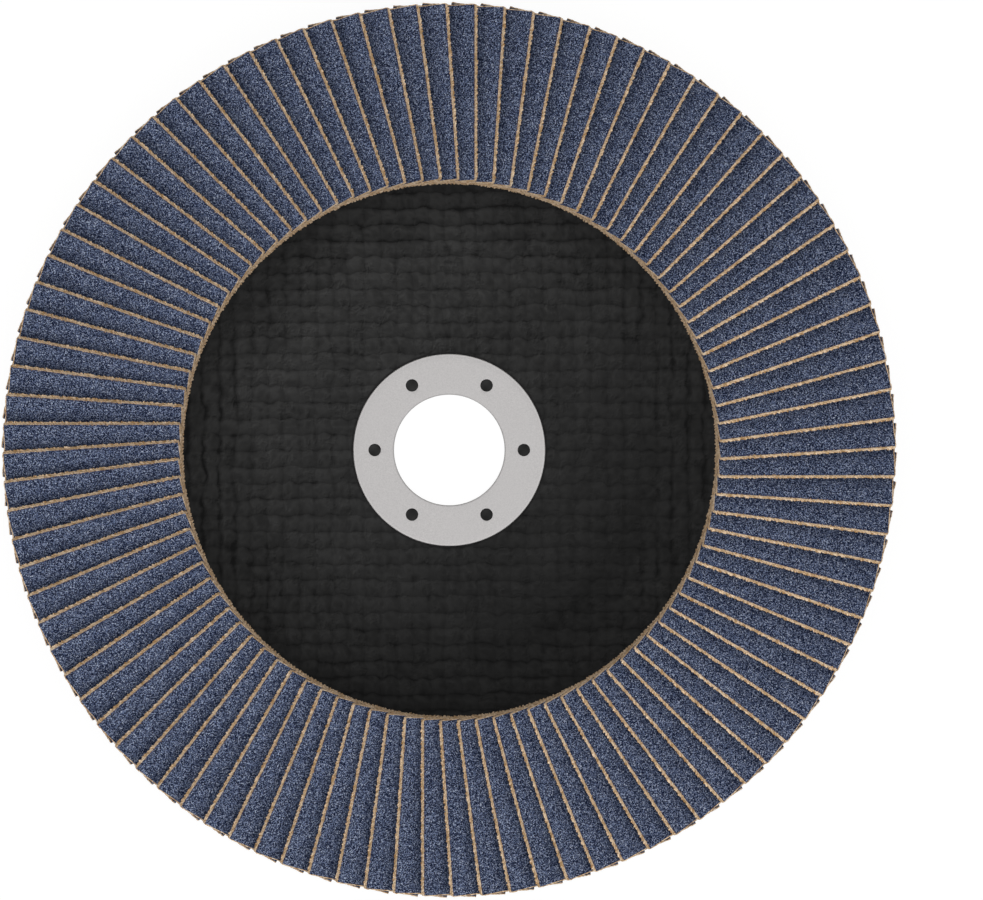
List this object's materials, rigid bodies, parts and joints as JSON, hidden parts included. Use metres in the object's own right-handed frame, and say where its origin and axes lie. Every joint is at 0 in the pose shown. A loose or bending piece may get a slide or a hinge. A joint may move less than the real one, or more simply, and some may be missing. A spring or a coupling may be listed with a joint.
{
  "type": "flap disc",
  "caption": "Conical abrasive flap disc for an angle grinder: shingled cloth flaps bonded to the rim of a dished laminate plate, with a steel ring round the bore.",
  "frame": {"origin": "centre of the bore in the plane of the hub's back face, on which the disc rests", "axes": "+Z along the spindle axis, out of the working face; +Y to flap 1, the top of the picture; +X to the picture's right"},
  "size_m": [0.18, 0.18, 0.0189],
  "materials": {
    "laminate": "black resin-bonded glass-fibre laminate with a woven imprint",
    "ring_steel": "dull, finely blasted zinc-grey steel",
    "adhesive": "dark cured epoxy",
    "abrasive_cloth": "slate-blue abrasive grain on tan cloth, cut edges bare"
  },
  "bodies": {
    "root": {"backing_plate": "laminate", "arbor_ring": "ring_steel", "adhesive_bead": "adhesive", "flap_pair_01": "abrasive_cloth", "flap_pair_02": "abrasive_cloth", "flap_pair_03": "abrasive_cloth", "flap_pair_04": "abrasive_cloth", "flap_pair_05": "abrasive_cloth", "flap_pair_06": "abrasive_cloth", "flap_pair_07": "abrasive_cloth", "flap_pair_08": "abrasive_cloth", "flap_pair_09": "abrasive_cloth", "flap_pair_10": "abrasive_cloth", "flap_pair_11": "abrasive_cloth", "flap_pair_12": "abrasive_cloth", "flap_pair_13": "abrasive_cloth", "flap_pair_14": "abrasive_cloth", "flap_pair_15": "abrasive_cloth", "flap_pair_16": "abrasive_cloth", "flap_pair_17": "abrasive_cloth", "flap_pair_18": "abrasive_cloth", "flap_pair_19": "abrasive_cloth", "flap_pair_20": "abrasive_cloth", "flap_pair_21": "abrasive_cloth", "flap_pair_22": "abrasive_cloth", "flap_pair_23": "abrasive_cloth", "flap_pair_24": "abrasive_cloth", "flap_pair_25": "abrasive_cloth", "flap_pair_26": "abrasive_cloth", "flap_pair_27": "abrasive_cloth", "flap_pair_28": "abrasive_cloth", "flap_pair_29": "abrasive_cloth", "flap_pair_30": "abrasive_cloth", "flap_pair_31": "abrasive_cloth", "flap_pair_32": "abrasive_cloth", "flap_pair_33": "abrasive_cloth", "flap_pair_34": "abrasive_cloth", "flap_pair_35": "abrasive_cloth", "flap_pair_36": "abrasive_cloth", "flap_pair_37": "abrasive_cloth", "flap_pair_38": "abrasive_cloth", "flap_pair_39": "abrasive_cloth", "flap_pair_40": "abrasive_cloth", "flap_pair_41": "abrasive_cloth", "flap_pair_42": "abrasive_cloth", "flap_pair_43": "abrasive_cloth", "flap_pair_44": "abrasive_cloth", "flap_pair_45": "abrasive_cloth", "flap_pair_46": "abrasive_cloth", "flap_pair_47": "abrasive_cloth", "flap_pair_48": "abrasive_cloth"}
  },
  "joints": []
}
